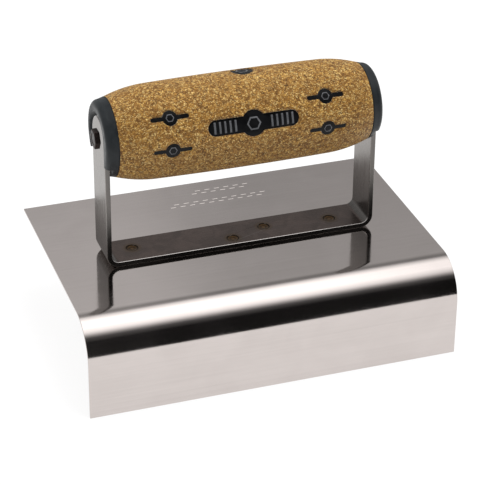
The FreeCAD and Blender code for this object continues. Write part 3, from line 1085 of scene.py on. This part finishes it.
@dataclass
class Inlays:
    """The dark inlays, with paler ribs and a paler rim round each raised hexagon."""

    crown: float = 19.15 * MM
    waist: float = 18.75 * MM
    half: float = 36.0 * MM
    plate_sink: float = 0.45 * MM
    relief_step: float = 0.15 * MM
    rib_width: float = 1.2 * MM
    rim_share: float = 0.2
    outward: float = 0.7
    sharp: float = 30.0
    names: list[str] = field(default_factory=lambda: sorted(
        name for name in bpy.data.objects.keys() if name.endswith(("_badge", "_button", "_inlay"))
    ))

    def plate_radius(self, x: float) -> float:
        """The radius of an inlay's face at a place along the handle."""
        return self.crown - (self.crown - self.waist) * (x / self.half) ** 2 - self.plate_sink

    def raised(self, face: BMFace, axis: Vector) -> bool:
        """Whether a face is the top of a rib or a hexagon.

        Args:
            face: The face.
            axis: A point of the handle's axis.

        Returns:
            True if it stands proud of the plate and looks outwards.
        """
        middle = face.calc_center_median()
        out = Vector((0.0, middle.y - axis.y, middle.z - axis.z))
        proud = out.length > self.plate_radius(middle.x) + self.relief_step
        return proud and out.normalized().dot(face.normal) > self.outward

    @staticmethod
    def patches(faces: set[BMFace]) -> list[set[BMFace]]:
        """Sorts faces into patches that join edge to edge.

        Args:
            faces: The faces.

        Returns:
            The patches.
        """
        left, found = set(faces), []
        while left:
            patch, front = set(), {left.pop()}
            while front:
                face = front.pop()
                patch.add(face)
                near = {other for edge in face.edges for other in edge.link_faces} & left
                left -= near
                front |= near
            found.append(patch)
        return found

    def build(self, axis: Vector, black: Material, silver: Material) -> list[Object]:
        """Makes every inlay.

        Args:
            axis: A point of the handle's axis.
            black: The plates' material.
            silver: The relief's material.

        Returns:
            The inlays.
        """
        made = []
        for name in self.names:
            bm = merged_copy(bpy.data.objects[name])
            tops = self.patches({face for face in bm.faces if self.raised(face, axis)})
            for patch in sorted(tops, key=lambda faces: min(face.calc_center_median().x for face in faces)):
                along = [vert.co.x for face in patch for vert in face.verts]
                width = max(along) - min(along)
                if width >= self.rib_width:
                    patch = bmesh.ops.inset_region(
                        bm, faces=sorted(patch, key=lambda face: face.index), depth=0.0,
                        thickness=self.rim_share * width / 2, use_even_offset=True,
                    )["faces"]
                for face in patch:
                    face.material_index = 1
            piece = mesh_piece(f"{name}_plate", bm, self.sharp)
            made.append(finish_piece(piece, Slot.INLAY, [black, silver], [name]))
        return made


@dataclass
class Screw:
    """A hexagon-headed screw: a chamfered head over a plain shank and point."""

    side: Side
    head: float = 2.2 * MM
    corner: float = 4.04 * MM
    shank: float = 2.4 * MM
    point: float = 3.0 * MM
    chamfer: float = 0.45 * MM
    dimple_rim: float = 1.0 * MM
    dimple_depth: float = 0.25 * MM
    overlap: float = 0.25
    tip: float = 0.125
    facets: int = 32
    sharp: float = 30.0

    def build(self, axis: Vector, steel: Material) -> Object:
        """Makes the screw.

        Args:
            axis: A point of the handle's axis.
            steel: Its material.

        Returns:
            The screw.
        """
        name = f"{self.side.name.lower()}_screw"
        low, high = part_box(name)
        out = self.side.value
        outer = high.x if out > 0 else low.x
        inner = low.x if out > 0 else high.x
        seat = outer - out * self.head
        base = Vector((0.0, axis.y, axis.z))
        bm = self.hexagon(seat, outer, base)
        root = seat + out * self.head * self.overlap
        points = (
            (root, 0.0), (root, self.shank), (inner + out * self.point, self.shank),
            (inner, self.shank * self.tip), (inner, 0.0),
        )
        line = [base + Vector((x, 0.0, radius)) for x, radius in points]
        join(bm, spun(line, base, Vector((1.0, 0.0, 0.0)), self.facets))
        return finish_piece(mesh_piece(f"{name}_turned", bm, self.sharp), Slot.SCREW, [steel], [name])

    def hexagon(self, seat: float, outer: float, base: Vector) -> BMesh:
        """The head: a hexagon with its outer corners chamfered and a shallow dimple in its face.

        Args:
            seat: Where it meets the tongue, along the handle.
            outer: Its outer face, along the handle.
            base: A point of the handle's axis.

        Returns:
            The head's mesh.
        """
        bm = bmesh.new()
        ring = bmesh.ops.create_circle(bm, cap_ends=True, radius=self.corner, segments=6)["verts"]
        turn = Matrix.Rotation(math.pi / 2, 4, "Y")
        bmesh.ops.transform(bm, matrix=Matrix.Translation(base + Vector((seat, 0.0, 0.0))) @ turn, verts=ring)
        made = bmesh.ops.extrude_face_region(bm, geom=bm.faces[:])["geom"]
        cap = [item for item in made if isinstance(item, BMVert)]
        bmesh.ops.translate(bm, verts=cap, vec=(outer - seat, 0.0, 0.0))
        rim = [edge for edge in bm.edges if all(abs(vert.co.x - outer) < TOUCHING for vert in edge.verts)]
        bmesh.ops.bevel(
            bm, geom=rim, offset=self.chamfer, segments=3, profile=0.5, affect="EDGES", material=-1
        )
        bmesh.ops.recalc_face_normals(bm, faces=bm.faces[:])
        face = max(
            (item for item in bm.faces if abs(item.calc_center_median().x - outer) < TOUCHING),
            key=lambda item: item.calc_area(),
        )
        bmesh.ops.inset_region(bm, faces=[face], thickness=self.dimple_rim, depth=0.0)
        bmesh.ops.inset_region(bm, faces=[face], thickness=self.dimple_depth, depth=-self.dimple_depth)
        return bm


@dataclass
class Handle:
    """The cork handle: sleeve, core, end caps, inlays and screws."""

    inlays: Inlays = field(default_factory=Inlays)
    sharp: float = 30.0

    def axis(self) -> Vector:
        """A point of the handle's axis, from the core's box."""
        low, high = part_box("handle_core")
        return (low + high) / 2

    def build(self) -> None:
        """Makes the handle's pieces and their materials."""
        cork, cap, core = Cork().build(), CAP_PLASTIC.build(), CORE_PLASTIC.build()
        black, silver, screw = INLAY_BLACK.build(), INLAY_RELIEF.build(), BlackOxide().build()
        sleeve = mesh_piece("cork_sleeve", merged_copy(bpy.data.objects["cork_grip"]), self.sharp)
        finish_piece(sleeve, Slot.CORK, [cork], ["cork_grip"])
        for side in Side:
            name = f"{side.name.lower()}_end_cap"
            piece = mesh_piece(f"{name}_moulding", merged_copy(bpy.data.objects[name]), self.sharp)
            finish_piece(piece, Slot.CAP, [cap], [name])
            Screw(side).build(self.axis(), screw)
        finish_piece(bpy.data.objects["handle_core"], Slot.CORE, [core], [])
        self.inlays.build(self.axis(), black, silver)


# ---- studio


@dataclass(frozen=True)
class Studio:
    """A pale floor, two soft lamps for the matt surfaces, a room for the steel to mirror, and the camera.

    The room has a bright panel and a dark card. Tones go by a direction's angle over the top, in degrees from
    behind to in front. Fades go by how far it points along the handle, and left_ends by the angle in half
    turns.
    """

    key_place: Triple = (0.25, -0.25, 1.1)
    lamp_size: float = 0.7
    key_power: float = 7.0
    fill_place: Triple = (-0.5, 0.9, 0.7)
    fill_power: float = 4.5
    floor_half: float = 0.42
    floor_drop: float = 0.02 * MM
    floor_tone: float = 0.22
    floor_glow: float = 0.82
    room_tones: tuple[Span, ...] = (
        (0.0, 0.62), (20.0, 0.52), (45.0, 0.42), (62.0, 0.50), (74.0, 0.85), (90.0, 0.92), (104.0, 0.85),
        (118.0, 0.50), (132.0, 0.30), (160.0, 0.28), (172.0, 0.42), (180.0, 0.62),
    )
    panel_tones: tuple[Span, ...] = (
        (0.0, 0.60), (26.0, 0.46), (33.0, 0.64), (42.0, 0.62), (54.0, 0.32), (60.0, 0.40), (68.0, 1.25),
        (78.0, 1.95), (100.0, 1.95), (112.0, 1.45), (122.0, 0.45), (128.0, 0.10), (140.0, 0.01),
        (180.0, 0.01),
    )
    panel_span: tuple[float, float, float, float] = (0.08, 0.17, 0.46, 0.60)
    left_fade: tuple[float, float, float, float] = (0.16, 0.29, 1.52, 0.72)
    right_fade: tuple[float, float, float, float] = (0.32, 0.385, 1.0, 0.72)
    left_ends: Span = (0.30, 0.36)
    camera_place: Triple = (-0.23294, -0.68250, 0.41008)
    camera_azimuth: float = -19.073
    camera_elevation: float = 29.733
    camera_roll: float = 0.495
    camera_lens: float = 151.47
    camera_reach: Span = (0.01, 20.0)

    def build(self) -> None:
        """Makes the studio."""
        self.build_floor()
        self.build_lamp("key", self.key_place, self.key_power)
        self.build_lamp("fill", self.fill_place, self.fill_power)
        self.build_room()
        self.build_camera()

    def build_floor(self) -> None:
        """Makes the floor under the lowest point of the tool, clear when it is seen from below."""
        low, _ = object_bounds()
        bm = bmesh.new()
        bmesh.ops.create_grid(bm, x_segments=1, y_segments=1, size=self.floor_half)
        bmesh.ops.translate(bm, verts=bm.verts[:], vec=(0.0, 0.0, low.z - self.floor_drop))
        mesh = bpy.data.meshes.new("floor")
        bm.to_mesh(mesh)
        bm.free()
        graph = Finish("pale_floor")
        graph.set(
            Base_Color=grey(self.floor_tone), Roughness=0.9, Emission_Color=grey(1.0),
            Emission_Strength=self.floor_glow, Specular_IOR_Level=0.1,
        )
        below = graph.add("ShaderNodeNewGeometry").outputs["Backfacing"]
        clear = graph.add("ShaderNodeBsdfTransparent").outputs[0]
        shown = graph.add("ShaderNodeMixShader")
        for socket, source in zip(shown.inputs, (below, graph.surface.outputs[0], clear)):
            graph.put(socket, source)
        graph.put(graph.tree.nodes["Material Output"].inputs["Surface"], shown.outputs[0])
        mesh.materials.append(graph.material)
        placed("floor", mesh)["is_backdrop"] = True

    def build_lamp(self, name: str, place: Triple, power: float) -> None:
        """Makes a soft light that models the matt surfaces and isn't mirrored in the steel.

        Args:
            name: The light's name.
            place: Where it hangs; it faces the tool.
            power: Its power in watts.
        """
        data = bpy.data.lights.new(name, "AREA")
        data.size = self.lamp_size
        data.energy = power
        light = placed(name, data)
        light.rotation_euler = Vector(place).to_track_quat("Z", "Y").to_euler()
        light.location = place
        light.visible_camera = False
        light.visible_glossy = False

    @staticmethod
    def tones(graph: Graph, angle: Socket, stops: Iterable[Span]) -> Socket:
        """The room's tone by the angle that a direction makes over the top.

        Args:
            graph: The world's graph.
            angle: The angle, where 1 is half a turn.
            stops: Angles in degrees and tones.

        Returns:
            The tone.
        """
        return graph.ramp(angle, ((degrees / 180.0, grey(tone)) for degrees, tone in stops))

    def build_room(self) -> None:
        """Makes the room, which is plain white where the camera looks past the floor."""
        world = bpy.data.worlds.new("room")
        bpy.context.scene.world = world
        graph = Graph(world)
        graph.tree.nodes.clear()
        x, y, z = graph.axes(graph.add("ShaderNodeTexCoord").outputs["Generated"])
        angle = graph.math("FLOORED_MODULO", graph.math("DIVIDE", graph.math("ARCTAN2", z, y), math.pi), 2.0)
        room = self.tones(graph, angle, self.room_tones)
        panel = self.tones(graph, angle, self.panel_tones)
        left = graph.fit(x, *self.left_fade)
        behind = graph.fit(angle, *self.left_ends, 1.0, 0.0)
        right = graph.fit(x, *self.right_fade)
        level = graph.math("ADD", graph.math("MULTIPLY", behind, graph.math("SUBTRACT", left, right)), right)
        panel = graph.mix(1.0, panel, graph.mix(level, grey(0.0), grey(1.0)), "MULTIPLY")
        starts = graph.fit(x, *self.panel_span[:2], 0.0, 1.0)
        ends = graph.fit(x, *self.panel_span[2:], 1.0, 0.0)
        room = graph.mix(graph.math("MULTIPLY", starts, ends), room, panel)
        seen = graph.add("ShaderNodeLightPath").outputs["Is Camera Ray"]
        background = graph.add("ShaderNodeBackground")
        graph.put(background.inputs["Color"], graph.mix(seen, room, grey(1.0)))
        output = graph.add("ShaderNodeOutputWorld")
        graph.put(output.inputs["Surface"], background.outputs["Background"])

    def build_camera(self) -> None:
        """Makes the camera and sets it as the scene's."""
        azimuth, elevation, roll = (
            math.radians(angle) for angle in (self.camera_azimuth, self.camera_elevation, self.camera_roll)
        )
        level = math.cos(elevation)
        back = Vector((math.sin(azimuth) * level, -math.cos(azimuth) * level, math.sin(elevation)))
        right = Vector((0.0, 0.0, 1.0)).cross(back).normalized()
        up = back.cross(right)
        right, up = right * math.cos(roll) + up * math.sin(roll), up * math.cos(roll) - right * math.sin(roll)
        data = bpy.data.cameras.new("camera")
        data.lens = self.camera_lens
        data.clip_start, data.clip_end = self.camera_reach
        camera = placed("camera", data)
        turn = Matrix((right, up, back)).transposed().to_4x4()
        camera.matrix_world = Matrix.Translation(self.camera_place) @ turn
        bpy.context.scene.camera = camera
        bpy.context.scene.view_settings.view_transform = "Standard"


# ---- whole tool


def corners(box: tuple[Vector, Vector]) -> list[list[float]]:
    """A box as plain lists."""
    return [list(corner) for corner in box]


def main() -> None:
    """Loads the frame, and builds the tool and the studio."""
    logging.basicConfig(level=logging.INFO, format="%(name)s: %(message)s")
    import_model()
    cad_box = corners(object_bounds())
    bracket = Bracket()
    Blade().build(PolishedSheet().build())
    bracket.build(SatinStrap(bracket.welds).build(), WeldSteel(bracket.welds).build())
    Handle().build()
    Studio().build()
    {"cad": cad_box, "visual": corners(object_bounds())}


if __name__ == "__main__":
    main()
